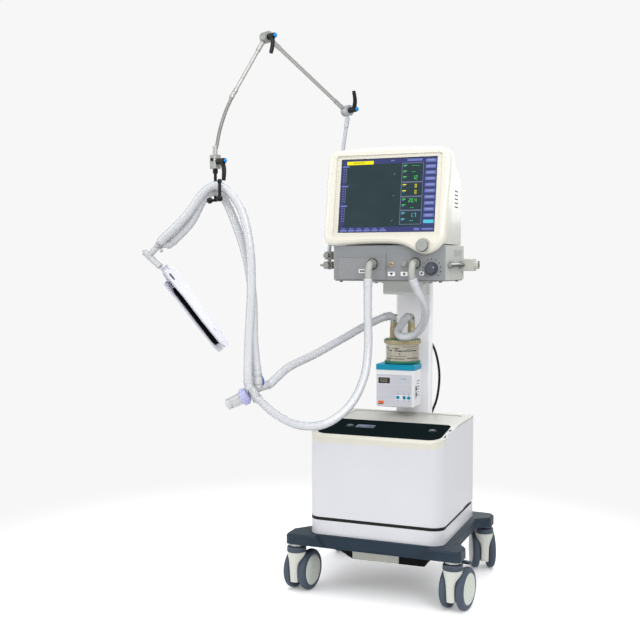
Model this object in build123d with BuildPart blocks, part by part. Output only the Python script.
from build123d import *
from math import sin, cos, radians
import os

# Mobile intensive-care ventilator on a four-caster trolley: base casting, cabinet, column, instrument
# chassis with a screen head, humidifier, support arm, breathing hoses and a hanging test lung.
# Working frame in millimetres: x = 0 is the trolley's middle plane, +X to the operator's right,
# -Y towards the operator, z = 0 the floor.

# ---------------------------------------------------------------- driving dimensions
ROW_X, ROW_Y = 185.0, 107.0     # shift on export: middle of the overall envelope goes to x = y = 0
RUN = 0.05                      # radial clearance of everything that turns

# casters
WHEEL_D = 125.0
WHEEL_IN = 13.0                 # inner face of a wheel, from the caster's middle plane
TRAIL = 38.0                    # swivel axis to wheel axle
STEM_X, STEM_FRONT, STEM_REAR = 244.0, -246.0, 172.0
AXLE_R, STEM_R = 6.0, 9.0
COLLAR_BOTTOM, COLLAR_TOP = 126.0, 142.0

# base
BASE_BOTTOM, BASE_TOP = 152.0, 183.0

# cabinet
CAB_W, CAB_FRONT, CAB_REAR = 420.0, -238.0, 162.0
CAB_D = CAB_REAR - CAB_FRONT
CAB_CENTRE = (0, (CAB_REAR + CAB_FRONT) / 2)
CAB_TOP, SHELL_TOP = 512.0, 505.0
SKIRT_TOP, GROOVE_TOP = 228.0, 236.0
WALL = 4.0

# column
COL_W, COL_FRONT, COL_REAR, COL_TOP = 117.0, 165.0, 205.0, 942.0
COL_Y = (COL_FRONT + COL_REAR) / 2
HUM_BOLTS = [(-20, 585), (-20, 625)]    # x, z of the bolts that carry the humidifier

# instrument chassis
CHASSIS_LEFT, CHASSIS_RIGHT = -170.0, 185.0
CHASSIS_FRONT, CHASSIS_REAR = -128.0, 105.0
CHASSIS_BOTTOM, CHASSIS_TOP = 953.0, 1058.0
CHASSIS_W, CHASSIS_D = CHASSIS_RIGHT - CHASSIS_LEFT, CHASSIS_REAR - CHASSIS_FRONT
CHASSIS_CENTRE = ((CHASSIS_LEFT + CHASSIS_RIGHT) / 2, (CHASSIS_FRONT + CHASSIS_REAR) / 2)
CHASSIS_PLATE = 3.0                     # base plate below the chassis
BRACKET_PLATE = 6.0
BRACKET_TOP = CHASSIS_BOTTOM - CHASSIS_PLATE - BRACKET_PLATE    # underside of the bracket's plate

# screen
TILT = 9.0                              # leans back, degrees
SCREEN_W, SCREEN_H = 304.1, 228.1
SCREEN_CENTRE = (0.0, -116.4, 1209.8)

# 22 mm breathing system
HOSE_R = 12.5
CONE_R, PORT_BORE_R = 10.9, 9.0

pieces = {}


# ---------------------------------------------------------------- planes and points
def level(z):
    """Horizontal plane at height z; extrudes upwards."""
    return Plane.XY.offset(z)


def front_plane(y):
    """Upright plane at depth y, drawn in x and z; extrudes towards the operator."""
    return Plane.XZ.offset(-y)


def side_plane(x):
    """Upright plane at x, drawn in y and z; extrudes to the operator's right."""
    return Plane.YZ.offset(x)


def start_of(path):
    """Plane across the start of a path."""
    return Plane(origin=path.line @ 0, z_dir=path.line % 0)


def along(point, direction, distance):
    return tuple(p + d * distance for p, d in zip(point, direction))


SCREEN = Plane(origin=SCREEN_CENTRE, x_dir=(1, 0, 0),
               z_dir=(0.0, -cos(radians(TILT)), sin(radians(TILT))))

# ---------------------------------------------------------------- base casting
# front of the casting leans back between the two front feet
with BuildPart() as facet_tool:
    with BuildSketch(side_plane(-190)):
        with BuildLine():
            Polyline((-246, 184.5), (-268, 155), (-290, 155), (-290, 184.5), close=True)
        make_face()
    extrude(amount=380)
    with BuildSketch(front_plane(-300)):
        with BuildLine():
            Polyline((-180, 185), (180, 185), (143, 154), (-143, 154), close=True)
        make_face()
    extrude(amount=-80, mode=Mode.INTERSECT)

# plan of the casting, x and y, waisted between the feet
BASE_PLAN = [
    (-272, -272), (272, -272), (272, -205), (229, -150), (229, 108), (272, 140), (272, 206),
    (150, 212), (-150, 212), (-272, 206), (-272, 140), (-229, 108), (-229, -150), (-272, -205)]
# underside pockets: x, y, width; the front middle one is left solid
RIB_POCKETS = [(x * 0.9, y, 120 if x else 132)
               for x in (-152, 0, 152) for y in (-148, -30, 88) if (x, y) != (0, -148)]
DRAIN = (0, 120)                        # hole through casting and skirt
DRAIN_R = 7

with BuildPart() as base_frame:
    with BuildSketch(level(BASE_BOTTOM)) as plan:
        with BuildLine():
            Polyline(*BASE_PLAN, close=True)
        make_face()
        fillet(plan.vertices().filter_by(lambda v: abs(v.X) > 260 and v.Y < -260), 16)
        fillet(plan.vertices().filter_by(lambda v: abs(v.X) > 260 and v.Y > 200), 24)
        fillet(plan.vertices().filter_by(lambda v: abs(v.X) > 225 and -210 < v.Y < 150), 14)
    extrude(amount=BASE_TOP - BASE_BOTTOM)
    chamfer(base_frame.faces().sort_by(Axis.Z)[-1].edges(), 5)
    add(facet_tool.part, mode=Mode.SUBTRACT)
    # ribbed underside
    with BuildSketch(level(BASE_BOTTOM)):
        for x, y, width in RIB_POCKETS:
            with Locations((x, y)):
                RectangleRounded(width, 96, 12)
    extrude(amount=21, mode=Mode.SUBTRACT)
    with Locations((0, -200, BASE_BOTTOM), (0, 178, BASE_BOTTOM)):
        Box(300, 34, 38, mode=Mode.SUBTRACT)
    with BuildSketch(level(BASE_BOTTOM)):
        with Locations(DRAIN):
            Circle(DRAIN_R)
    extrude(amount=40, mode=Mode.SUBTRACT)
pieces["base_frame"] = base_frame.part

TRAY_FRONT, TRAY_D = -168.0, 210.0
TRAY_TOP = BASE_BOTTOM - 0.05
with BuildPart() as under_tray:
    with BuildSketch(front_plane(TRAY_FRONT)):
        with BuildLine():
            Polyline((-148, TRAY_TOP), (154, TRAY_TOP), (154, 124), (138, 97), (-92, 96),
                     (-148, 127), close=True)
        make_face()
    extrude(amount=-TRAY_D)
    fillet(under_tray.edges().filter_by(Axis.Y).sort_by(Axis.Z)[:2], 5)
    with BuildSketch(level(BASE_BOTTOM)):
        with Locations((0, -63)):
            Rectangle(190, 190)
    extrude(amount=-48, mode=Mode.SUBTRACT)
    # proud front cover of the tray
    with BuildSketch(front_plane(TRAY_FRONT)):
        with Locations((-16, 114)):
            RectangleRounded(148, 33, 2)
    extrude(amount=2.5)
pieces["under_tray"] = under_tray.part

# ---------------------------------------------------------------- casters
# stem x, stem y, swivel angle in degrees
CASTERS = {
    "fl": (-STEM_X, STEM_FRONT, -6.1),
    "fr": (STEM_X, STEM_FRONT, -7.5),
    "rl": (-STEM_X, STEM_REAR, 11.8),
    "rr": (STEM_X, STEM_REAR, 21.8),
}
STEMS = [(x, y) for x, y, turn in CASTERS.values()]
STEM_BOTTOM, STEM_NUT = 98, 6
PIN_Y, PIN_Z, PIN_R, PIN_L = 24, 134, 3, 28     # brake pedal pin, in the caster's frame

with BuildPart() as caster_stems:
    with BuildSketch(level(BASE_BOTTOM - STEM_NUT)):
        with Locations(*STEMS):
            RegularPolygon(26, 8)
    extrude(amount=STEM_NUT)
    with BuildSketch(level(STEM_BOTTOM)):
        with Locations(*STEMS):
            Circle(STEM_R)
    extrude(amount=BASE_BOTTOM - STEM_NUT - STEM_BOTTOM)
pieces["caster_stems"] = caster_stems.part


def cross_plane(caster, y, z):
    """Plane normal to the axle, at y and z of the caster's frame."""
    return Plane(origin=caster.from_local_coords((0, y, z)),
                 x_dir=caster.y_dir, z_dir=caster.x_dir)


def swivel_housing(caster, has_pedal):
    """Caster swivel: collar, funnel hood and the web between the two wheels."""
    axle = cross_plane(caster, TRAIL, WHEEL_D / 2)
    with BuildPart() as housing:
        # hood
        with BuildSketch(caster.offset(COLLAR_BOTTOM)):
            Circle(29)
        with BuildSketch(caster.offset(108)):
            with Locations((0, -1)):
                Ellipse(25, 27)
        with BuildSketch(caster.offset(86)):
            RectangleRounded(31, 56, 12)
        loft()
        # web
        with BuildSketch(caster.offset(34)):
            with Locations((0, 10)):
                RectangleRounded(27, 66, 11)
        with BuildSketch(caster.offset(86)):
            with Locations((0, 9)):
                RectangleRounded(31, 74, 12)
        loft()
        # collar
        with BuildSketch(caster.offset(COLLAR_BOTTOM)):
            Circle(29.5)
        extrude(amount=COLLAR_TOP - COLLAR_BOTTOM)
        chamfer(housing.faces().sort_by(Axis.Z)[-1].edges(), 2)
        if has_pedal:
            with BuildSketch(caster.offset(127.5)):
                with Locations((0, 22)):
                    Rectangle(31, 18)
            extrude(amount=13)
        # wheel wells
        for side in (1, -1):
            with BuildSketch(axle.offset(side * 12.2)):
                Circle(WHEEL_D / 2 + 2.5)
            extrude(amount=side * 60, mode=Mode.SUBTRACT)
        # stem and axle bores
        with BuildSketch(caster.offset(STEM_BOTTOM - 1)):
            Circle(STEM_R + RUN)
        extrude(amount=60, mode=Mode.SUBTRACT)
        with BuildSketch(axle.offset(-30)):
            Circle(AXLE_R + RUN)
        extrude(amount=60, mode=Mode.SUBTRACT)
        if has_pedal:
            # slot of the pedal and bore of its pin
            with BuildSketch(caster.offset(125)):
                with Locations((0, 27)):
                    Rectangle(18.6, 20)
            extrude(amount=25, mode=Mode.SUBTRACT)
            with BuildSketch(cross_plane(caster, PIN_Y, PIN_Z).offset(-PIN_L / 2 - 0.4)):
                Circle(PIN_R + RUN)
            extrude(amount=PIN_L + 0.8, mode=Mode.SUBTRACT)
    return housing.part


def wheel_pair(caster):
    """Two moulded wheels with their tread, joined by the axle that turns in the web."""
    axle = cross_plane(caster, TRAIL, WHEEL_D / 2)
    with BuildPart() as wheels:
        # half section: along the axle, radius
        with BuildSketch(Plane(origin=axle.origin, x_dir=caster.x_dir, z_dir=caster.y_dir)):
            with BuildLine():
                Polyline((0, 0), (0, AXLE_R), (12.6, AXLE_R), (12.9, 14), (WHEEL_IN, 22),
                         (16, 26), (14.2, 47))
                ThreePointArc((14.2, 47), (25.5, WHEEL_D / 2), (37.4, 47))
                Polyline((37.4, 47), (36.2, 45.5), (38.4, 43.5))
                Spline((38.4, 43.5), (40.2, 22), (40.6, 0), tangents=((0.2, -1), (0, -1)))
                Line((40.6, 0), (0, 0))
            make_face()
        revolve(axis=Axis(axle.origin, caster.x_dir))
        mirror(about=axle)
    return wheels.part


def brake_pedal(caster):
    with BuildPart() as pedal:
        with BuildSketch(caster.offset(PIN_Z - 3)):
            with Locations((0, 36)):
                RectangleRounded(18, 33, 3)
            with Locations((0, 56)):
                RectangleRounded(72, 17, 6)
        extrude(amount=6)
        chamfer(pedal.faces().sort_by(Axis.Z)[-1].edges(), 1.2)
        with BuildSketch(cross_plane(caster, PIN_Y, PIN_Z).offset(-PIN_L / 2)):
            Circle(PIN_R)
        extrude(amount=PIN_L)
    return pedal.part


for corner, (x, y, turn) in CASTERS.items():
    caster = Plane(origin=(x, y, 0), x_dir=(cos(radians(turn)), sin(radians(turn)), 0),
                   z_dir=(0, 0, 1))
    at_front = corner.startswith("f")
    pieces[f"caster_{corner}_housing"] = swivel_housing(caster, at_front)
    pieces[f"caster_{corner}_wheels"] = wheel_pair(caster)
    if at_front:
        pieces[f"caster_{corner}_brake_pedal"] = brake_pedal(caster)


# ---------------------------------------------------------------- cabinet
def cabinet_plan(z, inset):
    """Plan outline of the cabinet, drawn in by inset."""
    with BuildSketch(level(z)) as outline:
        with Locations(CAB_CENTRE):
            Rectangle(CAB_W - 2 * inset, CAB_D - 2 * inset)
        fillet(outline.vertices().filter_by(lambda v: v.Y < CAB_CENTRE[1]), 40 - inset)
        fillet(outline.vertices().filter_by(lambda v: v.Y > CAB_CENTRE[1]), 16 - inset)
    return outline.sketch


SKIRT_OUTER, SKIRT_INNER = cabinet_plan(BASE_TOP, 0), cabinet_plan(BASE_TOP + WALL, WALL)
BAND_INSET = 5
BAND_OUTER = cabinet_plan(SKIRT_TOP, BAND_INSET)
BAND_INNER = cabinet_plan(SKIRT_TOP, BAND_INSET + WALL)
SHELL_OUTER, SHELL_INNER = cabinet_plan(GROOVE_TOP, 0), cabinet_plan(GROOVE_TOP, WALL)
COVER_BOTTOM = 455
COVER_OUTER, COVER_INNER = cabinet_plan(COVER_BOTTOM, 0), cabinet_plan(COVER_BOTTOM - 5, WALL)
SIDE_X, SIDE_W = -230, 460              # start and width of tools that span the cabinet

with BuildPart() as cabinet_skirt:
    add(SKIRT_OUTER)
    extrude(amount=SKIRT_TOP - BASE_TOP)
    add(SKIRT_INNER)
    extrude(amount=SKIRT_TOP - BASE_TOP - 2 * WALL, mode=Mode.SUBTRACT)
    with BuildSketch(level(SKIRT_TOP - 5)):
        with Locations(CAB_CENTRE):
            RectangleRounded(CAB_W - 24, CAB_D - 24, 30)
    extrude(amount=10, mode=Mode.SUBTRACT)
    with BuildSketch(level(BASE_TOP - 1)):
        with Locations(DRAIN):
            Circle(DRAIN_R)
    extrude(amount=6, mode=Mode.SUBTRACT)
pieces["cabinet_skirt"] = cabinet_skirt.part

with BuildPart() as cabinet_groove_band:
    add(BAND_OUTER)
    extrude(amount=GROOVE_TOP - SKIRT_TOP)
    add(BAND_INNER)
    extrude(amount=GROOVE_TOP - SKIRT_TOP, mode=Mode.SUBTRACT)
pieces["cabinet_groove_band"] = cabinet_groove_band.part

# everything that belongs to the moulded top cover, seen from the side (y, z)
with BuildPart() as cover_region:
    with BuildSketch(side_plane(SIDE_X)):
        with BuildLine():
            Spline((-260, 464), (-236, 465), (-214, 474), (-196, 493), (-180, 503),
                   (-160, SHELL_TOP))
            Polyline((-160, SHELL_TOP), (200, SHELL_TOP), (200, 600), (-260, 600), (-260, 464))
        make_face()
    extrude(amount=SIDE_W)

# hollow below the top cover
with BuildPart() as cover_core:
    add(COVER_INNER)
    extrude(amount=70)
    with BuildSketch(side_plane(SIDE_X)):
        with BuildLine():
            Polyline((170, 400), (170, SHELL_TOP), (-60, SHELL_TOP), (-228, 483.8), (-240, 470),
                     (-240, 400), close=True)
        make_face()
    extrude(amount=SIDE_W, mode=Mode.INTERSECT)

SERVICE_Z, SERVICE_W, SERVICE_H = 365.0, 330, 210       # rear opening

with BuildPart() as cabinet_shell:
    add(SHELL_OUTER)
    extrude(amount=SHELL_TOP - GROOVE_TOP)
    add(SHELL_INNER)
    extrude(amount=SHELL_TOP - GROOVE_TOP, mode=Mode.SUBTRACT)
    # seat that closes the shell over the groove band
    with BuildSketch(level(GROOVE_TOP)):
        with Locations(CAB_CENTRE):
            RectangleRounded(CAB_W - 2, CAB_D - 2, 14)
            RectangleRounded(CAB_W - 26, CAB_D - 26, 30, mode=Mode.SUBTRACT)
    extrude(amount=3)
    add(cover_region.part, mode=Mode.SUBTRACT)
    # rear opening behind the service panel
    with BuildSketch(front_plane(CAB_REAR + 5)):
        with Locations((0, SERVICE_Z)):
            RectangleRounded(SERVICE_W, SERVICE_H, 8)
    extrude(amount=12, mode=Mode.SUBTRACT)
    # slot in the right-hand side, above the groove
    with BuildSketch(side_plane(CAB_W / 2 - 2)):
        with Locations((60, GROOVE_TOP + 3)):
            SlotOverall(80, 7)
    extrude(amount=6, mode=Mode.SUBTRACT)
    # trims the corners of the seat to the outline
    with BuildSketch(level(GROOVE_TOP)):
        with Locations(CAB_CENTRE):
            Rectangle(CAB_W + 100, CAB_D + 100)
        add(SHELL_OUTER.moved(Location((0, 0, -GROOVE_TOP))), mode=Mode.SUBTRACT)
    extrude(amount=4, mode=Mode.SUBTRACT)
pieces["cabinet_shell"] = cabinet_shell.part

# instrument panel, on the front slope of the cabinet's top
SLOPE_ANGLE = 7.2
SLOPE = Plane(origin=(0, -145, 501), x_dir=(1, 0, 0),
              z_dir=(0, -sin(radians(SLOPE_ANGLE)), cos(radians(SLOPE_ANGLE))))
PANEL_T = 3
BUTTONS = {"left": (-112, 12), "right": (150, 12)}      # on the slope
BUTTON_R, BUTTON_BORE_R = 9.2, 9.4


def panel_outline(inset):
    with BuildSketch(SLOPE) as outline:
        Rectangle(386 - 2 * inset, 166 - 2 * inset)
        fillet(outline.vertices().filter_by(lambda v: v.Y < 0), 36 - inset)
        fillet(outline.vertices().filter_by(lambda v: v.Y > 0), 18 - inset)
    return outline.sketch


PANEL_POCKET, PANEL_PLATE = panel_outline(0), panel_outline(0.4)
NOSE_Y = -238.2

with BuildPart() as cabinet_top_cover:
    add(COVER_OUTER)
    extrude(amount=70)
    # side view of the cover, rounded at the rear and at the nose
    with BuildSketch(side_plane(SIDE_X)):
        with BuildLine():
            Line((170, COVER_BOTTOM), (170, 506))
            ThreePointArc((170, 506), (160, 510.5), (150, CAB_TOP))
            Line((150, CAB_TOP), (-56, CAB_TOP))
            Line((-56, CAB_TOP), (-226, 490.6))
            ThreePointArc((-226, 490.6), (-234.5, 487), (NOSE_Y, 479))
            Line((NOSE_Y, 479), (NOSE_Y, COVER_BOTTOM))
            Line((NOSE_Y, COVER_BOTTOM), (170, COVER_BOTTOM))
        make_face()
    extrude(amount=SIDE_W, mode=Mode.INTERSECT)
    add(cover_region.part, mode=Mode.INTERSECT)
    add(cover_core.part, mode=Mode.SUBTRACT)
    add(PANEL_POCKET)
    extrude(amount=-PANEL_T, mode=Mode.SUBTRACT)
    with BuildSketch(SLOPE):
        with Locations(*BUTTONS.values()):
            Circle(BUTTON_BORE_R)
    extrude(amount=-30, mode=Mode.SUBTRACT)
    # shallow drip tray behind the instrument panel, and a slot through it
    with BuildSketch(level(CAB_TOP)):
        with Locations((0, 45)):
            RectangleRounded(360, 170, 22)
    extrude(amount=-2, mode=Mode.SUBTRACT)
    with BuildSketch(level(CAB_TOP)):
        with Locations((0, 120)):
            SlotOverall(60, 14)
    extrude(amount=-20, mode=Mode.SUBTRACT)
pieces["cabinet_top_cover"] = cabinet_top_cover.part

with BuildPart() as cabinet_control_panel:
    add(PANEL_PLATE)
    extrude(amount=-PANEL_T)
    with BuildSketch(SLOPE):
        with Locations(*BUTTONS.values()):
            Circle(BUTTON_BORE_R)
    extrude(amount=-5, mode=Mode.SUBTRACT)
    # window of the small display
    with BuildSketch(SLOPE):
        with Locations((-62, 14)):
            RectangleRounded(54, 26, 2)
    extrude(amount=-1.2, mode=Mode.SUBTRACT)
pieces["cabinet_control_panel"] = cabinet_control_panel.part

for side, place in BUTTONS.items():
    with BuildPart() as panel_button:
        with BuildSketch(SLOPE.offset(-9)):
            with Locations(place):
                Circle(BUTTON_R)
        extrude(amount=11.5)
        fillet(panel_button.edges().group_by(Axis.Z)[-1], 1)
    pieces[f"cabinet_button_{side}"] = panel_button.part

FAN = (108.0, SERVICE_Z)                # x, z
FAN_AXLE_R = 3
REAR_PANEL_T = 3
LOUVRES = [(-112, SERVICE_Z + 18 * k) for k in range(-4, 5)]

with BuildPart() as cabinet_rear_panel:
    with BuildSketch(front_plane(CAB_REAR)):
        with Locations((0, SERVICE_Z)):
            RectangleRounded(SERVICE_W - 1, SERVICE_H - 1, 7.5)
    extrude(amount=REAR_PANEL_T)
    # louvres at -X, two-ring fan grille with its cross bars at +X
    with BuildSketch(front_plane(CAB_REAR + 1)):
        with Locations(*LOUVRES):
            SlotOverall(80, 6)
        with Locations(FAN):
            Circle(45)
            Circle(33, mode=Mode.SUBTRACT)
            Circle(28)
            Circle(14, mode=Mode.SUBTRACT)
            Rectangle(100, 5, mode=Mode.SUBTRACT)
            Rectangle(5, 100, mode=Mode.SUBTRACT)
    extrude(amount=5, mode=Mode.SUBTRACT)
    # stub axle of the cooling fan
    with BuildSketch(front_plane(CAB_REAR - REAR_PANEL_T)):
        with Locations(FAN):
            Circle(FAN_AXLE_R)
    extrude(amount=22)
pieces["cabinet_rear_panel"] = cabinet_rear_panel.part

BLADES, BLADE_PITCH, BLADE_T = 7, radians(32), 1.6
with BuildPart() as cabinet_fan_rotor:
    with BuildSketch(front_plane(CAB_REAR - 7)):
        with Locations(FAN):
            Circle(15)
            Circle(FAN_AXLE_R + RUN, mode=Mode.SUBTRACT)
    extrude(amount=16)
    for k in range(BLADES):
        turn = radians(k * 360 / BLADES)
        blade = Plane(origin=(FAN[0], CAB_REAR - 15, FAN[1]), x_dir=(cos(turn), 0, sin(turn)),
                      z_dir=(-sin(turn) * cos(BLADE_PITCH), sin(BLADE_PITCH),
                             cos(turn) * cos(BLADE_PITCH)))
        with BuildSketch(blade.offset(-BLADE_T / 2)):
            with Locations((28, 0)):
                RectangleRounded(30, 17, 3)
        extrude(amount=BLADE_T)
pieces["cabinet_fan_rotor"] = cabinet_fan_rotor.part

MOUNT_Z = BASE_TOP + WALL               # top of the skirt's floor
with BuildPart() as compressor_unit:
    with BuildSketch(level(MOUNT_Z)):
        with Locations((0, -40)):
            RectangleRounded(240, 200, 10)
    extrude(amount=6)
    with BuildSketch(level(MOUNT_Z + 6)):
        with Locations((-60, -40)):
            Circle(46)
        with Locations((60, -40)):
            RectangleRounded(90, 120, 8)
    extrude(amount=120)
    with BuildSketch(level(MOUNT_Z + 126)):
        with Locations((-60, -40)):
            Circle(30)
        with Locations((60, -65), (60, -15)):
            Circle(22)
    extrude(amount=40)
    # pipe between the round and the square housing
    with BuildSketch(side_plane(-20)):
        with Locations((-40, 260)):
            Circle(9)
    extrude(amount=40)
pieces["compressor_unit"] = compressor_unit.part

# ---------------------------------------------------------------- column, bracket and cable
CABLE_X, CABLE_HIGH, CABLE_LOW = 44, 745, 492           # where the cable enters the column
CABLE_END_Y, CABLE_BEND_Y, CABLE_Y = COL_REAR + 0.5, COL_REAR + 5.5, 212

with BuildPart() as column:
    with BuildSketch(front_plane(COL_FRONT)) as front:
        with Locations((0, (BASE_TOP + COL_TOP) / 2)):
            Rectangle(COL_W, COL_TOP - BASE_TOP)
        fillet(front.vertices().sort_by(Axis.Z)[-2:], 20)
    extrude(amount=-(COL_REAR - COL_FRONT))
    fillet(column.edges().filter_by(Axis.Z), 6)
    with BuildSketch(level(BASE_TOP)):
        with Locations((0, COL_Y)):
            RectangleRounded(COL_W - 10, COL_REAR - COL_FRONT - 10, 4)
    extrude(amount=COL_TOP - BASE_TOP - 26, mode=Mode.SUBTRACT)
    with BuildSketch(front_plane(COL_REAR + 1)):
        with Locations((CABLE_X, CABLE_HIGH), (CABLE_X, CABLE_LOW)):
            Circle(8)
    extrude(amount=7, mode=Mode.SUBTRACT)
    # two bolt holes of the humidifier bracket
    with BuildSketch(front_plane(COL_FRONT - 1)):
        with Locations(*HUM_BOLTS):
            Circle(3.2)
    extrude(amount=-8, mode=Mode.SUBTRACT)
pieces["column"] = column.part

BRACKET_REAR = COL_FRONT - 0.02
with BuildPart() as head_bracket:
    with BuildSketch(side_plane(-50)):
        with BuildLine():
            Polyline((0, 906), (BRACKET_REAR, 900), (BRACKET_REAR, BRACKET_TOP),
                     (0, BRACKET_TOP), close=True)
        make_face()
    extrude(amount=100)
    fillet(head_bracket.edges().filter_by(Axis.X).group_by(Axis.Y)[0].sort_by(Axis.Z)[0], 8)
    with BuildSketch(level(BRACKET_TOP)):
        with Locations((0, 50)):
            RectangleRounded(190, 150, 8)
    extrude(amount=BRACKET_PLATE)
    with BuildSketch(level(895)):
        with Locations((0, 84)):
            Rectangle(88, 150)
    extrude(amount=43, mode=Mode.SUBTRACT)
pieces["head_bracket"] = head_bracket.part

with BuildPart() as power_cable:
    with BuildLine() as run:
        Spline((CABLE_X, CABLE_END_Y, CABLE_HIGH), (50, CABLE_BEND_Y, 738), (64, CABLE_Y, 712),
               (79, CABLE_Y, 634), (70, CABLE_Y, 548), (50, CABLE_BEND_Y, 499),
               (CABLE_X, CABLE_END_Y, CABLE_LOW))
    with BuildSketch(start_of(run)):
        Circle(4)
    sweep()
pieces["power_cable"] = power_cable.part

# ---------------------------------------------------------------- head
# outline of the head on the screen plane: right, up
HEAD_OUTLINE = [
    (-197, 60), (-197, 98), (-195, 124), (-189, 137), (-175, 143.5), (-150, 146.2), (-75, 148.6),
    (15, 149.5), (92, 148), (150, 144.5), (177, 139.5), (189.5, 129), (194.5, 110), (195, 82),
    (193.5, 30), (191, -27), (188, -80), (186, -115), (182.5, -138), (171, -157), (156, -169),
    (141, -176.5), (128, -179.5), (116, -179), (103, -174.5), (88, -166.5), (72, -157.5),
    (55, -151.5), (35, -147.8), (9, -146), (-45, -145.5), (-90, -147.5), (-123, -149.5),
    (-155, -151), (-177, -149.5), (-190, -143), (-196.5, -130), (-198.5, -105), (-198, -60),
    (-197.5, 0)]
# sections of the bezel: height above the screen plane, inset of the outline
BEZEL_SECTIONS = [(-30, 0), (-4, 0), (4, 4.5), (7, 12)]
KNOB = (121, -158)                      # rotary knob, on the screen plane
SHAFT_R = 3                             # shafts of the rotary and the flow knob


def head_outline(inset):
    """The head's outline, shrunk about its middle by roughly inset."""
    return [((x + 1) * (1 - inset / 196) - 1, (y + 5) * (1 - inset / 155) - 5)
            for x, y in HEAD_OUTLINE]


with BuildPart() as head_front_bezel:
    for sections in zip(BEZEL_SECTIONS, BEZEL_SECTIONS[1:]):
        for height, inset in sections:
            with BuildSketch(SCREEN.offset(height)):
                with BuildLine():
                    Spline(*head_outline(inset), periodic=True)
                make_face()
        loft()
    # stepped frame around the screen
    with BuildSketch(SCREEN.offset(3)):
        with Locations((0, -2)):
            RectangleRounded(336, 254, 9)
    extrude(amount=10, mode=Mode.SUBTRACT)
    with BuildSketch(SCREEN.offset(-40)):
        Rectangle(SCREEN_W + 1, SCREEN_H + 1)
    extrude(amount=60, mode=Mode.SUBTRACT)
    # open back
    with BuildSketch(SCREEN.offset(-31)):
        with BuildLine():
            Spline(*head_outline(5), periodic=True)
        make_face()
    extrude(amount=26, mode=Mode.SUBTRACT)
    # seat of the touch panel
    with BuildSketch(SCREEN.offset(-31)):
        Rectangle(SCREEN_W + 14, SCREEN_H + 14)
    extrude(amount=30, mode=Mode.SUBTRACT)
    # round seat and bore of the rotary knob
    with BuildSketch(SCREEN.offset(5.5)):
        with Locations(KNOB):
            Circle(21)
    extrude(amount=4, mode=Mode.SUBTRACT)
    with BuildSketch(SCREEN.offset(-12)):
        with Locations(KNOB):
            Circle(SHAFT_R + RUN)
    extrude(amount=24, mode=Mode.SUBTRACT)
    # clears the instrument chassis below
    with BuildSketch(level(900)):
        with Locations((CHASSIS_CENTRE[0], 22)):
            Rectangle(CHASSIS_W + 2, 301)
    extrude(amount=CHASSIS_TOP + 1 - 900, mode=Mode.SUBTRACT)
pieces["head_front_bezel"] = head_front_bezel.part

with BuildPart() as touchscreen_panel:
    with BuildSketch(SCREEN.offset(-7)):
        Rectangle(SCREEN_W + 13.6, SCREEN_H + 13.6)
    extrude(amount=5.8)
    with BuildSketch(SCREEN.offset(-19)):
        Rectangle(290, 216)
    extrude(amount=12)
pieces["touchscreen_panel"] = touchscreen_panel.part

# side view of the rear cover (y, z): outside, full hollow, hollow beside the rear corners
COVER_SIDE = [
    (-150, 1061), (116, 1061), (133, 1084), (128, 1124), (98, 1160), (101, 1233), (84, 1266),
    (12, 1300), (-36, 1326), (-66, 1341), (-150, 1341)]
HOLLOW_SIDE = [
    (-160, 1066), (112, 1066), (126, 1086), (121, 1121), (92, 1158), (95, 1230), (80, 1261),
    (8, 1294), (-38, 1319), (-66, 1333), (-160, 1333)]
SHALLOW_SIDE = [(-160, 1066), (84, 1066), (84, 1255), *HOLLOW_SIDE[7:]]

with BuildPart() as head_back_side:
    with BuildSketch(side_plane(-195)) as profile:
        with BuildLine():
            Polyline(*COVER_SIDE, close=True)
        make_face()
        fillet(profile.vertices().filter_by(lambda v: v.Y > 100 and v.Z > 1065), 14)
        fillet(profile.vertices().filter_by(lambda v: v.Y < 20 and 1290 < v.Z < 1330), 20)
    extrude(amount=390)

with BuildPart() as head_rear_cover:
    with BuildSketch(level(1000)) as plan:
        with BuildLine():
            Polyline((-186, -150), (186, -150), (186, -60), (172, 134), (-172, 134),
                     (-183, -60), close=True)
        make_face()
        fillet(plan.vertices().filter_by(lambda v: v.Y > 100), 34)
    extrude(amount=400)
    add(head_back_side.part, mode=Mode.INTERSECT)
    # flat joint with the front bezel
    with BuildSketch(SCREEN.offset(-30)):
        Rectangle(500, 500)
    extrude(amount=150, mode=Mode.SUBTRACT)
    # hollow: deep in the middle, wider but shallower to clear the rounded rear corners
    for half_width, hollow in ((150, HOLLOW_SIDE), (168, SHALLOW_SIDE)):
        with BuildSketch(side_plane(-half_width)):
            with BuildLine():
                Polyline(*hollow, close=True)
            make_face()
        extrude(amount=2 * half_width, mode=Mode.SUBTRACT)
    # cooling slots high on both sides
    with BuildSketch(side_plane(-250)):
        with Locations(*[(20, 1225 - 12 * k) for k in range(5)]):
            SlotOverall(60, 4)
    extrude(amount=500, mode=Mode.SUBTRACT)
pieces["head_rear_cover"] = head_rear_cover.part

# ---------------------------------------------------------------- instrument chassis
# x, z on the front face
EXP_PORT, NEB_PORT, CAP_PORT, INSP_PORT = (-41, 1002), (16, 1001), (58, 1002), (93, 1004)
FLOW_KNOB = (143, 988)
COVER_CENTRE = (-77.4, 988.2)
COVER_SCREWS = [(-148, 988), (-7, 988)]
COVER_SEAT = CHASSIS_FRONT + 1.6        # floor of the expiratory cover's recess
GAS_INLETS = [(-20, 985), (14, 985)]    # x, z on the rear face

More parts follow.
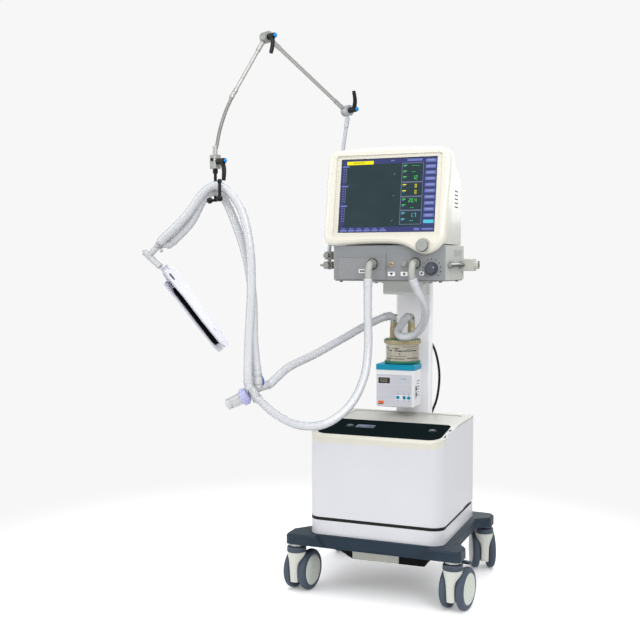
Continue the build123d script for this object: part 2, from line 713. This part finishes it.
with BuildPart() as chassis:
    with BuildSketch(level(CHASSIS_BOTTOM)) as box:
        with Locations(CHASSIS_CENTRE):
            Rectangle(CHASSIS_W, CHASSIS_D)
        fillet(box.vertices(), 5)
    extrude(amount=CHASSIS_TOP - CHASSIS_BOTTOM)
    with BuildSketch(level(CHASSIS_BOTTOM + 3)):
        with Locations(CHASSIS_CENTRE):
            Rectangle(CHASSIS_W - 6, CHASSIS_D - 6)
    extrude(amount=CHASSIS_TOP - CHASSIS_BOTTOM - 6, mode=Mode.SUBTRACT)
    # base plate that sits on the bracket, and its four feet
    with BuildSketch(level(CHASSIS_BOTTOM - CHASSIS_PLATE)):
        with Locations(CHASSIS_CENTRE):
            RectangleRounded(CHASSIS_W - 8, CHASSIS_D - 8, 4)
    extrude(amount=CHASSIS_PLATE)
    with BuildSketch(level(CHASSIS_BOTTOM - CHASSIS_PLATE - 4)):
        with Locations((-150, -112), (166, -112), (-150, 88), (166, 88)):
            Circle(5)
    extrude(amount=4)
    # recess of the expiratory module cover
    with BuildSketch(front_plane(CHASSIS_FRONT)):
        with Locations(COVER_CENTRE):
            RectangleRounded(155, 67.6, 2)
    extrude(amount=CHASSIS_FRONT - COVER_SEAT, mode=Mode.SUBTRACT)
    # bores of the ports, the flow knob and the cover screws
    with BuildSketch(front_plane(CHASSIS_FRONT - 1)):
        with Locations(EXP_PORT, INSP_PORT):
            Circle(11)
        with Locations(NEB_PORT):
            Circle(3.5)
        with Locations(CAP_PORT):
            Circle(6)
        with Locations(FLOW_KNOB):
            Circle(SHAFT_R + RUN)
        with Locations(*COVER_SCREWS):
            Circle(1.6)
    extrude(amount=-6, mode=Mode.SUBTRACT)
    # ventilation slots on the right-hand side and at the rear
    with BuildSketch(side_plane(CHASSIS_RIGHT - 5)):
        with Locations(*[(-20 + 12 * k, 1034) for k in range(8)]):
            SlotOverall(22, 4, rotation=90)
    extrude(amount=10, mode=Mode.SUBTRACT)
    with BuildSketch(front_plane(CHASSIS_REAR + 1)):
        with Locations((-75, 1008)):
            RectangleRounded(76, 22, 2)
        with Locations(*[(60 + 10 * k, 1020) for k in range(8)]):
            SlotOverall(30, 4, rotation=90)
    extrude(amount=5, mode=Mode.SUBTRACT)
    # high-pressure gas inlets at the rear, male threads taken as plain cylinders
    with BuildSketch(front_plane(CHASSIS_REAR)):
        with Locations(*GAS_INLETS):
            RegularPolygon(10, 6)
    extrude(amount=-6)
    with BuildSketch(front_plane(CHASSIS_REAR + 6)):
        with Locations(*GAS_INLETS):
            Circle(7.15)
    extrude(amount=-14)
pieces["chassis"] = chassis.part

with BuildPart() as expiratory_cover:
    with BuildSketch(front_plane(COVER_SEAT)):
        with Locations(COVER_CENTRE):
            RectangleRounded(154.2, 66.8, 1.8)
        with Locations(EXP_PORT):
            Circle(17.3, mode=Mode.SUBTRACT)
        with Locations(*COVER_SCREWS):
            Circle(1.6, mode=Mode.SUBTRACT)
    extrude(amount=2.4)
    chamfer(expiratory_cover.faces().sort_by(Axis.Y)[0].outer_wire().edges(), 0.5)
pieces["expiratory_cover"] = expiratory_cover.part

FLANGE_FRONT = CHASSIS_FRONT - 4
SPIGOT_BACK = CHASSIS_FRONT + 20
SMALL_FRONT = CHASSIS_FRONT - 3.5       # front of the two small ports' flanges
with BuildPart() as gas_ports:
    for place, seat in ((EXP_PORT, COVER_SEAT), (INSP_PORT, CHASSIS_FRONT)):
        # back y, radius, length, taper: flange, shoulder, spigot in the chassis, front cone
        for back, radius, length, taper in ((seat, 17, seat - FLANGE_FRONT, 0),
                                            (FLANGE_FRONT, 14, 5, 0),
                                            (SPIGOT_BACK, CONE_R, 20, 0),
                                            (FLANGE_FRONT - 5, 11, 11, 1.4)):
            with BuildSketch(front_plane(back)):
                with Locations(place):
                    Circle(radius)
            extrude(amount=length, taper=taper)
        with BuildSketch(front_plane(SPIGOT_BACK)):
            with Locations(place):
                Circle(PORT_BORE_R)
        extrude(amount=60, mode=Mode.SUBTRACT)
    # nebuliser port and capped port between them
    with BuildSketch(front_plane(CHASSIS_FRONT)):
        with Locations(NEB_PORT):
            RegularPolygon(6.5, 6)
        with Locations(CAP_PORT):
            Circle(8.5)
    extrude(amount=3.5)
    with BuildSketch(front_plane(CHASSIS_FRONT + 8)):
        with Locations(NEB_PORT):
            Circle(3.4)
        with Locations(CAP_PORT):
            Circle(5.9)
    extrude(amount=8)
    with BuildSketch(front_plane(SMALL_FRONT)):
        with Locations(NEB_PORT):
            Circle(3.6)
    extrude(amount=9, taper=3)
    with BuildSketch(front_plane(SMALL_FRONT)):
        with Locations(CAP_PORT):
            Circle(7.8)
    extrude(amount=2.5)
pieces["gas_ports"] = gas_ports.part

GRIP_R = 18.6                           # pitch radius of the 24 grip grooves
with BuildPart() as encoder_knob:
    with BuildSketch(SCREEN.offset(6)):
        with Locations(KNOB):
            Circle(18)
    extrude(amount=15, taper=2)
    fillet(encoder_knob.edges().sort_by(Axis.Y)[0], 2)
    with BuildSketch(SCREEN.offset(6)):
        with Locations([(KNOB[0] + GRIP_R * cos(radians(turn)), KNOB[1] + GRIP_R * sin(radians(turn)))
                        for turn in range(0, 360, 15)]):
            Circle(1.2)
    extrude(amount=12, mode=Mode.SUBTRACT)
    with BuildSketch(SCREEN.offset(-10)):
        with Locations(KNOB):
            Circle(SHAFT_R)
    extrude(amount=17)
pieces["encoder_knob"] = encoder_knob.part

FLOW_BACK = CHASSIS_FRONT - 0.6
with BuildPart() as flow_knob:
    with BuildSketch(front_plane(FLOW_BACK)):
        with Locations(FLOW_KNOB):
            Circle(20)
    extrude(amount=5, taper=8)
    with BuildSketch(front_plane(FLOW_BACK - 5)):
        with Locations(FLOW_KNOB):
            Circle(15)
    extrude(amount=13, taper=3)
    fillet(flow_knob.edges().sort_by(Axis.Y)[0], 1.8)
    with BuildSketch(front_plane(CHASSIS_FRONT + 9)):
        with Locations(FLOW_KNOB):
            Circle(SHAFT_R)
    extrude(amount=10)
    # pointer dot so that the dial can be read
    with BuildSketch(front_plane(FLOW_BACK - 17)):
        with Locations((FLOW_KNOB[0] + 9.4, FLOW_KNOB[1] + 3.4)):
            Circle(1.8)
    extrude(amount=2, mode=Mode.SUBTRACT)
pieces["flow_knob"] = flow_knob.part

RAIL_Z, RAIL_OUT = 999, 9               # height, and distance from the chassis side
SENSOR_Y = 83
with BuildPart() as oxygen_sensor:
    # equipment rail along the right-hand side and the oxygen cell at its rear end
    with BuildSketch(side_plane(CHASSIS_RIGHT)):
        with Locations((-80, RAIL_Z), (40, RAIL_Z)):
            RectangleRounded(16, 20, 3)
    extrude(amount=RAIL_OUT)
    with BuildSketch(front_plane(-108)):
        with Locations((CHASSIS_RIGHT + RAIL_OUT, RAIL_Z)):
            Circle(5.5)
    extrude(amount=-170)
    with BuildSketch(side_plane(CHASSIS_RIGHT + 0.02)):
        with Locations((SENSOR_Y, RAIL_Z)):
            RectangleRounded(44, 38, 5)
    extrude(amount=40)
    with BuildSketch(side_plane(CHASSIS_RIGHT + 40)):
        with Locations((SENSOR_Y, RAIL_Z)):
            Circle(13)
    extrude(amount=13)
pieces["oxygen_sensor"] = oxygen_sensor.part

with BuildPart() as gas_module:
    with BuildSketch(level(CHASSIS_BOTTOM + 3)):
        with Locations((0, 10)):
            RectangleRounded(250, 150, 6)
    extrude(amount=3)
    with BuildSketch(level(CHASSIS_BOTTOM + 6)):
        with Locations((-70, 0)):
            Circle(36)
        with Locations((40, 10)):
            RectangleRounded(90, 70, 5)
    extrude(amount=50)
    with BuildSketch(level(CHASSIS_BOTTOM + 56)):
        with Locations((-70, 0)):
            Circle(20)
    extrude(amount=22)
pieces["gas_module"] = gas_module.part

# ---------------------------------------------------------------- humidifier
HUM_LEFT, HUM_RIGHT, HUM_FRONT, HUM_REAR = -83.0, 44.0, 30.0, 145.0
HUM_BOTTOM, HUM_TOP = 542.0, 662.0
BAND_H = 18
CHAMBER_X, CHAMBER_Y = -11.0, 85.0
CHAMBER_PORTS = [(CHAMBER_X - 30, CHAMBER_Y), (CHAMBER_X + 30, CHAMBER_Y)]
KEYS = [(-9, 574.5), (12, 574.5), (27, 574.5)]          # x, z


def humidifier_plan(outset, cut_x, cut_y):
    """Plan of the humidifier, grown by outset, with the two rear corners cut off."""
    left, right = HUM_LEFT - outset, HUM_RIGHT + outset
    front, rear = HUM_FRONT - outset, HUM_REAR + outset
    return [(left, front), (right, front), (right, rear - cut_y), (right - cut_x, rear),
            (left + cut_x, rear), (left, rear - cut_y)]


with BuildPart() as humidifier_base:
    with BuildSketch(level(HUM_BOTTOM)) as plan:
        with BuildLine():
            Polyline(*humidifier_plan(0, 14, 33), close=True)
        make_face()
        fillet(plan.vertices(), 6)
    extrude(amount=HUM_TOP - HUM_BOTTOM)
    chamfer(humidifier_base.faces().sort_by(Axis.Z)[0].edges(), 4)
    # recessed front membrane panel, display window and key bores
    with BuildSketch(front_plane(HUM_FRONT)):
        with Locations((-22, 597)):
            RectangleRounded(118, 101, 4)
    extrude(amount=-0.8, mode=Mode.SUBTRACT)
    with BuildSketch(front_plane(HUM_FRONT)):
        with Locations((-55.5, 627.5)):
            RectangleRounded(40, 20, 1.5)
    extrude(amount=-2, mode=Mode.SUBTRACT)
    with BuildSketch(front_plane(HUM_FRONT)):
        with Locations(*KEYS):
            Circle(5.8)
    extrude(amount=-7, mode=Mode.SUBTRACT)
    # hollow for the heater electronics
    with BuildSketch(level(HUM_BOTTOM + 5)):
        with Locations(((HUM_LEFT + HUM_RIGHT) / 2, 87)):
            Rectangle(100, 88)
    extrude(amount=HUM_TOP - HUM_BOTTOM - 10, mode=Mode.SUBTRACT)
    # bracket to the column, with its two bolts
    with BuildSketch(front_plane(HUM_REAR)):
        with Locations((-20, 605)):
            RectangleRounded(60, 90, 4)
    extrude(amount=-(COL_FRONT - HUM_REAR))
    with BuildSketch(front_plane(COL_FRONT)):
        with Locations(*HUM_BOLTS):
            Circle(3.1)
    extrude(amount=-4.5)
    # vent slots on the right-hand side
    with BuildSketch(side_plane(HUM_RIGHT - 6)):
        with Locations(*[(80, 580 + 9 * k) for k in range(6)]):
            SlotOverall(36, 3.5)
    extrude(amount=10, mode=Mode.SUBTRACT)
pieces["humidifier_base"] = humidifier_base.part

with BuildPart() as humidifier_top_band:
    with BuildSketch(level(HUM_TOP)) as plan:
        with BuildLine():
            Polyline(*humidifier_plan(1.5, 14.5, 34), close=True)
        make_face()
        fillet(plan.vertices(), 7)
    extrude(amount=BAND_H)
    chamfer(humidifier_top_band.faces().sort_by(Axis.Z)[-1].edges(), 2)
    # round recess with a raised disc below the chamber
    with BuildSketch(level(HUM_TOP + BAND_H)):
        with Locations((CHAMBER_X, CHAMBER_Y)):
            Circle(53)
    extrude(amount=-3, mode=Mode.SUBTRACT)
    with BuildSketch(level(HUM_TOP + BAND_H - 3)):
        with Locations((CHAMBER_X, CHAMBER_Y)):
            Circle(50)
    extrude(amount=3.6)
pieces["humidifier_top_band"] = humidifier_top_band.part

for number, place in enumerate(KEYS, 1):
    with BuildPart() as key:
        with BuildSketch(front_plane(HUM_FRONT + 5)):
            with Locations(place):
                Circle(5.5)
        extrude(amount=5.6)
        fillet(key.edges().sort_by(Axis.Y)[0], 0.6)
    pieces[f"humidifier_button_{number}"] = key.part

# half section of the chamber: radius, z
CHAMBER_SECTION = [
    (0, 680.7), (52, 680.7), (57, 681.5), (57, 688), (54.5, 690), (54, 744), (58, 747),
    (59, 750), (59, 756), (56, 760), (30, 763), (0, 763), (0, 760), (30, 760), (51, 756),
    (51, 748), (51, 688), (0, 688)]
with BuildPart() as humidifier_chamber:
    with BuildSketch(Plane(origin=(CHAMBER_X, CHAMBER_Y, 0), x_dir=(1, 0, 0), z_dir=(0, -1, 0))):
        with BuildLine():
            Polyline(*CHAMBER_SECTION, close=True)
        make_face()
    revolve(axis=Axis((CHAMBER_X, CHAMBER_Y, 0), (0, 0, 1)))
    # two ports: sleeve, cone, then the bore
    for bottom, radius, length, mode in ((758, 12, 42, Mode.ADD), (800, CONE_R, 14, Mode.ADD),
                                         (752, PORT_BORE_R, 70, Mode.SUBTRACT)):
        with BuildSketch(level(bottom)):
            with Locations(*CHAMBER_PORTS):
                Circle(radius)
        extrude(amount=length, mode=mode)
pieces["humidifier_chamber"] = humidifier_chamber.part

# ---------------------------------------------------------------- support arm
UP = (0, 0, 1)
HINGE_AXIS = (0.882, -0.4712, 0.0)      # both arm hinges turn about this direction
SHOULDER = (-172.5, 0.0, 1489.3)        # on the plane between its two drums
ELBOW = (-330.4, -267.5, 1676.1)        # likewise
COLLAR = (-395.8, -362.0, 1495.1)       # lower end of the straight lower arm
BLOCK = (-425.5, -417.5, 1297.1)        # block that holds the hose hanger
POST_X, POST_R, POST_BOTTOM, POST_BEND = -233.0, 6, 984, 1052
DRUM_R, DRUM_T, DRUM_GAP = 17.0, 13.0, 0.15
DRUM_MID = 6.6                          # hinge plane to where the tubes aim
HINGE_PIN_R, HINGE_PIN_L = 4, DRUM_T + 2
LEVER_PIN_R, LEVER_SEAT = 3, DRUM_T - 8
HANGER_R, HANGER_PIN_R = 4, 2.5


def drum_face(centre, side):
    """Inner face of a hinge drum; extrudes outwards. side is 1 on +HINGE_AXIS, else -1."""
    return Plane(origin=along(centre, HINGE_AXIS, DRUM_GAP * side), x_dir=UP,
                 z_dir=(HINGE_AXIS[0] * side, HINGE_AXIS[1] * side, 0))


def tube_axis(start, end):
    """Plane across a tube's start, facing its end, and the distance between the two."""
    reach = Vector(*end) - Vector(*start)
    return Plane(origin=start, z_dir=reach), reach.length


# thumb screws of the two clamps: z, size of the screw
CLAMP_SCREWS = ((1029, 5), (998, 7))
with BuildPart() as arm_clamp:
    # two clamp blocks: bottom, height, width, width of the web to the plate
    for bottom, height, width, web in ((986, 24, 30, 14), (1016, 26, 26, 12)):
        with BuildSketch(level(bottom)):
            with Locations((POST_X, 0)):
                RectangleRounded(width, width, 5)
            with Locations((-205, 0)):
                Rectangle(40, web)
        extrude(amount=height)
    # plate on the chassis side
    with BuildSketch(side_plane(CHASSIS_LEFT - 8)):
        with Locations((0, 1012)):
            RectangleRounded(60, 66, 5)
    extrude(amount=8)
    with BuildSketch(level(980)):
        with Locations((POST_X, 0)):
            Circle(POST_R + RUN)
    extrude(amount=80, mode=Mode.SUBTRACT)
    for z, size in CLAMP_SCREWS:
        with BuildSketch(front_plane(-13)):
            with Locations((POST_X, z)):
                Circle(3)
        extrude(amount=14)
        with BuildSketch(front_plane(-22)):
            with Locations((POST_X, z)):
                RegularPolygon(size + 4, 8)
        extrude(amount=12)
    # side peg on the lower block
    with BuildSketch(side_plane(POST_X - 13)):
        with Locations((0, 998)):
            Circle(4)
    extrude(amount=-18)
pieces["arm_clamp"] = arm_clamp.part

POST_TOP = along(SHOULDER, HINGE_AXIS, DRUM_MID)
POST_LEAN = (0.15, 0, 1)
with BuildPart() as arm_post:
    with BuildLine() as rod:
        Polyline((POST_X, 0, POST_BOTTOM), (POST_X, 0, POST_BEND),
                 (POST_TOP[0] - 3.4, POST_TOP[1], POST_TOP[2] - 22))
        fillet(rod.vertices().filter_by(lambda v: abs(v.Z - POST_BEND) < 1), 60)
    with BuildSketch(Plane(origin=(POST_X, 0, POST_BOTTOM), z_dir=UP)):
        Circle(POST_R)
    sweep()
    # sleeve at the top of the rod, and the neck into the drum
    for distance, radius, length in ((-53, 7.3, 32), (-24, 3.9, 20)):
        with BuildSketch(Plane(origin=along(POST_TOP, POST_LEAN, distance), z_dir=POST_LEAN)):
            Circle(radius)
        extrude(amount=length)
    with BuildSketch(drum_face(SHOULDER, 1)):
        Circle(DRUM_R)
    extrude(amount=DRUM_T)
    # hinge pin, and the seat of the locking lever
    with BuildSketch(drum_face(SHOULDER, 1)):
        Circle(HINGE_PIN_R)
    extrude(amount=-HINGE_PIN_L)
    with BuildSketch(drum_face(SHOULDER, 1).offset(LEVER_SEAT)):
        Circle(LEVER_PIN_R + RUN)
    extrude(amount=10, mode=Mode.SUBTRACT)
pieces["arm_post"] = arm_post.part

upper_axis, upper_length = tube_axis(along(SHOULDER, HINGE_AXIS, -DRUM_MID),
                                     along(ELBOW, HINGE_AXIS, DRUM_MID))
with BuildPart() as upper_arm:
    # tube and its two end sleeves: start, radius, length
    for start, radius, length in ((8, 6.2, upper_length - 16), (19.5, 7.4, 32),
                                  (upper_length - 53, 7.4, 33)):
        with BuildSketch(upper_axis.offset(start)):
            Circle(radius)
        extrude(amount=length)
    for centre, side in ((SHOULDER, -1), (ELBOW, 1)):
        with BuildSketch(drum_face(centre, side)):
            Circle(DRUM_R)
        extrude(amount=DRUM_T)
    with BuildSketch(drum_face(SHOULDER, -1).offset(-2)):
        Circle(HINGE_PIN_R + RUN)
    extrude(amount=DRUM_T + 4, mode=Mode.SUBTRACT)
    with BuildSketch(drum_face(ELBOW, 1)):
        Circle(HINGE_PIN_R)
    extrude(amount=-HINGE_PIN_L)
    with BuildSketch(drum_face(ELBOW, 1).offset(LEVER_SEAT)):
        Circle(LEVER_PIN_R + RUN)
    extrude(amount=10, mode=Mode.SUBTRACT)
pieces["upper_arm"] = upper_arm.part

lower_axis, lower_length = tube_axis(along(ELBOW, HINGE_AXIS, -DRUM_MID), COLLAR)
with BuildPart() as lower_arm:
    for start, radius, length in ((8, 5.6, lower_length - 8), (19.5, 7, 30),
                                  (lower_length - 20, 7, 30)):
        with BuildSketch(lower_axis.offset(start)):
            Circle(radius)
        extrude(amount=length)
    with BuildSketch(drum_face(ELBOW, -1)):
        Circle(DRUM_R)
    extrude(amount=DRUM_T)
    with BuildSketch(drum_face(ELBOW, -1).offset(-2)):
        Circle(HINGE_PIN_R + RUN)
    extrude(amount=DRUM_T + 4, mode=Mode.SUBTRACT)
    # curved neck from the collar down to the block
    with BuildLine() as neck:
        Spline(COLLAR, (-407.6, -384.1, 1446.5), (-417.7, -402.9, 1389.8),
               (-423, -412.7, 1342.9), along(BLOCK, UP, 12),
               tangents=(tuple(lower_axis.z_dir), (0, 0, -1)))
    with BuildSketch(start_of(neck)):
        Circle(4.6)
    sweep()
    block = Plane(origin=BLOCK, x_dir=HINGE_AXIS, z_dir=UP)
    with BuildSketch(block.offset(20)):
        Circle(7)
    extrude(amount=26)
    with BuildSketch(block.offset(-20)):
        RectangleRounded(28, 22, 3)
    extrude(amount=40)
    # bores of the hanger rod and of the hanger lever's pin
    with BuildSketch(block.offset(-21)):
        Circle(HANGER_R + RUN)
    extrude(amount=26, mode=Mode.SUBTRACT)
    with BuildSketch(Plane(origin=along(BLOCK, HINGE_AXIS, 14), x_dir=UP,
                           z_dir=HINGE_AXIS).offset(-6)):
        Circle(HANGER_PIN_R + RUN)
    extrude(amount=8, mode=Mode.SUBTRACT)
    # retaining ring over the end of the elbow pin
    with BuildSketch(drum_face(ELBOW, -1).offset(DRUM_T)):
        Circle(10)
        Circle(HINGE_PIN_R + RUN, mode=Mode.SUBTRACT)
    extrude(amount=2.2)
pieces["lower_arm"] = lower_arm.part


def clamp_lever(place, hang, pin_radius, pin_length, hub_length):
    """Cranked locking lever: hub, pin, curved handle pointing along hang, and end button."""
    hub = Plane(origin=place, x_dir=hang, z_dir=HINGE_AXIS)
    with BuildPart() as lever:
        with BuildSketch(hub.offset(0.3)):
            Circle(8)
        extrude(amount=hub_length, taper=3)
        with BuildSketch(hub.offset(0.3)):
            Circle(pin_radius)
        extrude(amount=-pin_length)
        with BuildLine() as bend:
            Spline(hub.from_local_coords((0, 0, hub_length - 8)),
                   hub.from_local_coords((20, 0, hub_length - 1)),
                   hub.from_local_coords((56, 0, hub_length + 3)),
                   tangents=(tuple(hub.x_dir), tuple(hub.x_dir)))
        with BuildSketch(Plane(origin=bend.line @ 0, x_dir=hub.y_dir, z_dir=hub.x_dir)):
            Ellipse(6.4, 5)
        with BuildSketch(Plane(origin=bend.line @ 1, x_dir=hub.y_dir, z_dir=hub.x_dir)):
            Ellipse(4.6, 3.4)
        sweep(multisection=True)
        with BuildSketch(hub.offset(hub_length)):
            Circle(5)
        extrude(amount=3)
    return lever.part


pieces["shoulder_lever"] = clamp_lever(
    along(SHOULDER, HINGE_AXIS, DRUM_T + DRUM_GAP), hang=(-0.1155, -0.2162, 0.9695),
    pin_radius=LEVER_PIN_R, pin_length=7.5, hub_length=30)
pieces["elbow_lever"] = clamp_lever(
    along(ELBOW, HINGE_AXIS, DRUM_T + DRUM_GAP), hang=(-0.1319, -0.2469, -0.96),
    pin_radius=LEVER_PIN_R, pin_length=7.5, hub_length=26)
pieces["hanger_lever"] = clamp_lever(
    along(BLOCK, HINGE_AXIS, 14.1), hang=(-0.0472, -0.0883, -0.995),
    pin_radius=HANGER_PIN_R, pin_length=5, hub_length=33)

# ---------------------------------------------------------------- hose hanger
HANGER_X, HANGER_Y = BLOCK[0], BLOCK[1]
OUT = (0.372, -0.928)                   # x, y: from the hanger rod towards the operator
ACROSS = (0.928, 0.372)


def hanger_point(out, across, z):
    return (HANGER_X + OUT[0] * out + ACROSS[0] * across,
            HANGER_Y + OUT[1] * out + ACROSS[1] * across, z)


ROD_Z = 1266                            # top of the bent rod
BRANCH_TIP = hanger_point(70, -9, 1181)
HOOK_TIP = hanger_point(77, 20, 1235)
with BuildPart() as hose_hanger:
    # pin in the arm's block, and the collar below it
    for bottom, radius, length in ((1274, HANGER_R, 24), (1264, 7.5, 12)):
        with BuildSketch(Plane(origin=(HANGER_X, HANGER_Y, bottom))):
            Circle(radius)
        extrude(amount=length)
    with BuildLine() as bar:
        Polyline((HANGER_X, HANGER_Y, ROD_Z), (HANGER_X, HANGER_Y, 1186),
                 hanger_point(77, 20, 1184), HOOK_TIP)
        fillet(bar.vertices().filter_by(lambda v: v.Z < 1193), 10)
    with BuildSketch(Plane(origin=(HANGER_X, HANGER_Y, ROD_Z), z_dir=(0, 0, -1))):
        Circle(4.6)
    sweep()
    with BuildLine() as branch:
        Line(hanger_point(26, 6.8, 1185), BRANCH_TIP)
    with BuildSketch(start_of(branch)):
        Circle(4.4)
    sweep()
    with Locations(hanger_point(77, 20, 1187), BRANCH_TIP):
        Sphere(9)
    with Locations(HOOK_TIP):
        Sphere(7)
pieces["hose_hanger"] = hose_hanger.part

# ---------------------------------------------------------------- patient circuit
# centre lines of the hoses, each a list of x, y, z; one entry per separate hose in the piece
HOSES = {
    # expiratory port to the water trap
    "hose_expiratory": [[
        (-41, -151.5, 1002), (-41, -156, 1001.6), (-41.5, -163.5, 993), (-43, -166.5, 966),
        (-43.9, -167, 860), (-40, -174, 748), (-44, -200, 662), (-72, -248, 582),
        (-128, -310, 533), (-188, -368, 536), (-240, -418, 575), (-262, -438, 601)]],
    # inspiratory port to the humidifier chamber
    "hose_humid_feed": [[
        (93, -151.5, 1004), (93, -156, 1003.6), (93, -162.5, 994), (92, -162, 968),
        (104, -137, 921), (113.5, -95, 874), (94, -38, 820), (50, 2, 779), (10, 10, 772),
        (-10, 30, 783), (-6, 55, 808), (6, 74, 829), (16.6, 83.6, 831), (19, 85, 823),
        (19, 85, 817)]],
    # humidifier chamber to the inspiratory joint
    "hose_inspiratory": [[
        (-41, 85, 818), (-41, 85, 823), (-46, 83, 831.5), (-62, 73, 831), (-104, 40, 811),
        (-163, -60, 766), (-208.6, -180, 725.5), (-247, -300, 694), (-258, -360, 670),
        (-264, -393, 655)]],
    # over the hanger to the Y-piece
    "hose_patient_limbs": [
        [(-288, -433, 692), (-296, -433, 780), (-299, -434, 900), (-316, -434, 1010),
         (-351, -434, 1114), (-390, -435, 1192), (-418, -435.5, 1211), (-452, -434, 1193),
         (-502, -431, 1120), (-572, -431, 1062)],
        [(-301, -462, 662), (-299, -461, 780), (-291, -460, 930), (-297, -460, 1065),
         (-326, -460, 1165), (-371, -460, 1214), (-405, -460, 1225), (-442, -459, 1206),
         (-496, -456, 1146), (-582, -455, 1072)]],
}
for name, centre_lines in HOSES.items():
    with BuildPart() as hose:
        for stations in centre_lines:
            with BuildLine() as run:
                Spline(*stations)
            with BuildSketch(start_of(run)):
                Circle(HOSE_R)
            sweep()
    pieces[name] = hose.part

CUP_AXIS = (-0.9, -0.05, -0.43)
# expiratory water trap: origin, direction, radius, length, taper of tee, collar and cup
TRAP_PARTS = [
    ((-275, -450, 611), (-0.42, -0.16, 0.9), 13.6, 46, 0),
    ((-306, -464, 627), CUP_AXIS, 25, 12, 0),
    ((-300, -464, 630), CUP_AXIS, 18, 70, 3)]
with BuildPart() as water_traps:
    # inspiratory joint: sleeve with a side nozzle
    with BuildSketch(Plane(origin=(-284, -431, 640), z_dir=(-0.05, -0.03, 1))):
        Circle(14.5)
    extrude(amount=49)
    with BuildLine() as nozzle:
        Line((-284, -431, 646), (-265.5, -397.5, 653.5))
    with BuildSketch(start_of(nozzle)):
        Circle(11)
    sweep()
    for origin, direction, radius, length, taper in TRAP_PARTS:
        with BuildSketch(Plane(origin=origin, z_dir=direction)):
            Circle(radius)
        extrude(amount=length, taper=taper)
pieces["water_traps"] = water_traps.part

FORK = (-600, -443, 1058)
# start, end, radius: two limbs, the common tube and the elbow to the test lung
Y_TUBES = [
    ((-582, -434, 1059.8), FORK, 11),
    ((-590, -452.5, 1066.5), FORK, 11),
    (FORK, (-638, -443, 1024), 9),
    ((-650, -443, 1037), (-597, -443, 994), 9.5)]
with BuildPart() as y_piece:
    for start, end, radius in Y_TUBES:
        with BuildLine() as tube:
            Line(start, end)
        with BuildSketch(start_of(tube)):
            Circle(radius)
        sweep()
pieces["y_piece"] = y_piece.part

# ---------------------------------------------------------------- test lung
# two stiff plates joined at the neck, with a bag between them
LUNG_AXIS = (0.547, 0.219, -0.808)      # neck to free end
LUNG = Plane(origin=(-580.0, -436.0, 979.0), x_dir=LUNG_AXIS, z_dir=(0.749072, 0.045872, 0.5428))
PLATE_T = 5
# plate outline: along the lung, across it
PLATE = [
    (-3, -35), (22, -41), (58, -39), (92, -34), (180, -35), (262, -29), (283, -18),
    (283, 18), (262, 29), (180, 35), (92, 34), (58, 39), (22, 41), (-3, 35)]

with BuildPart() as lung_front_plate:
    with BuildSketch(LUNG.offset(7)) as outline:
        with BuildLine():
            Polyline(*PLATE, close=True)
        make_face()
        fillet(outline.vertices(), 7)
    extrude(amount=PLATE_T)
    with BuildSketch(LUNG.offset(-3)):
        with Locations((14, 0)):
            RectangleRounded(34, 60, 4)
    extrude(amount=10)
    with BuildSketch(Plane(origin=LUNG.from_local_coords((-3, 0, 2)), z_dir=LUNG_AXIS)):
        Circle(10)
    extrude(amount=-14)
pieces["lung_front_plate"] = lung_front_plate.part

with BuildPart() as lung_back_plate:
    with BuildSketch(LUNG.offset(-16)) as outline:
        with BuildLine():
            Polyline(*[(max(x, 24), y) for x, y in PLATE[1:-1]], close=True)
        make_face()
        fillet(outline.vertices(), 7)
    extrude(amount=PLATE_T)
    with BuildSketch(LUNG.offset(-16 + PLATE_T)):
        with Locations((34, 0)):
            Rectangle(10, 60)
    extrude(amount=3)
pieces["lung_back_plate"] = lung_back_plate.part

with BuildPart() as lung_bag:
    with BuildSketch(LUNG.offset(-10.5)):
        with Locations((156, 0)):
            RectangleRounded(212, 60, 20)
    extrude(amount=17)
    fillet(lung_bag.edges(), 5)
pieces["lung_bag"] = lung_bag.part

# ---------------------------------------------------------------- fasteners
with BuildPart() as fasteners:
    # heads and shanks of the expiratory cover's screws
    with BuildSketch(front_plane(COVER_SEAT - 2.4)):
        with Locations(*COVER_SCREWS):
            Circle(3.2)
    extrude(amount=1.6)
    with BuildSketch(front_plane(CHASSIS_FRONT + 6)):
        with Locations(*COVER_SCREWS):
            Circle(1.55)
    extrude(amount=7)
    # rear panel screws
    with BuildSketch(front_plane(CAB_REAR)):
        with Locations((-158, 268), (-158, 462), (158, 268), (158, 462)):
            Circle(3.5)
    extrude(amount=-1.8)
    # column foot brackets and their bolts
    with BuildSketch(level(BASE_TOP)):
        with Locations((-76, COL_Y), (76, COL_Y)):
            RectangleRounded(34, 30, 3)
    extrude(amount=5)
    with BuildSketch(level(BASE_TOP + 5)):
        with Locations((-80, COL_Y), (80, COL_Y)):
            RegularPolygon(7, 6)
    extrude(amount=5)
    # bracket bolts below the head
    with BuildSketch(level(BRACKET_TOP)):
        with Locations((-80, 20), (80, 20), (-80, 90), (80, 90)):
            RegularPolygon(6, 6)
    extrude(amount=-4)
pieces["fasteners"] = fasteners.part

# ---------------------------------------------------------------- export
os.makedirs("parts", exist_ok=True)
for name, part in pieces.items():
    placed = part.moved(Location((ROW_X, ROW_Y, 0)))
    placed.label = name
    export_step(placed, f"parts/{name}.step")
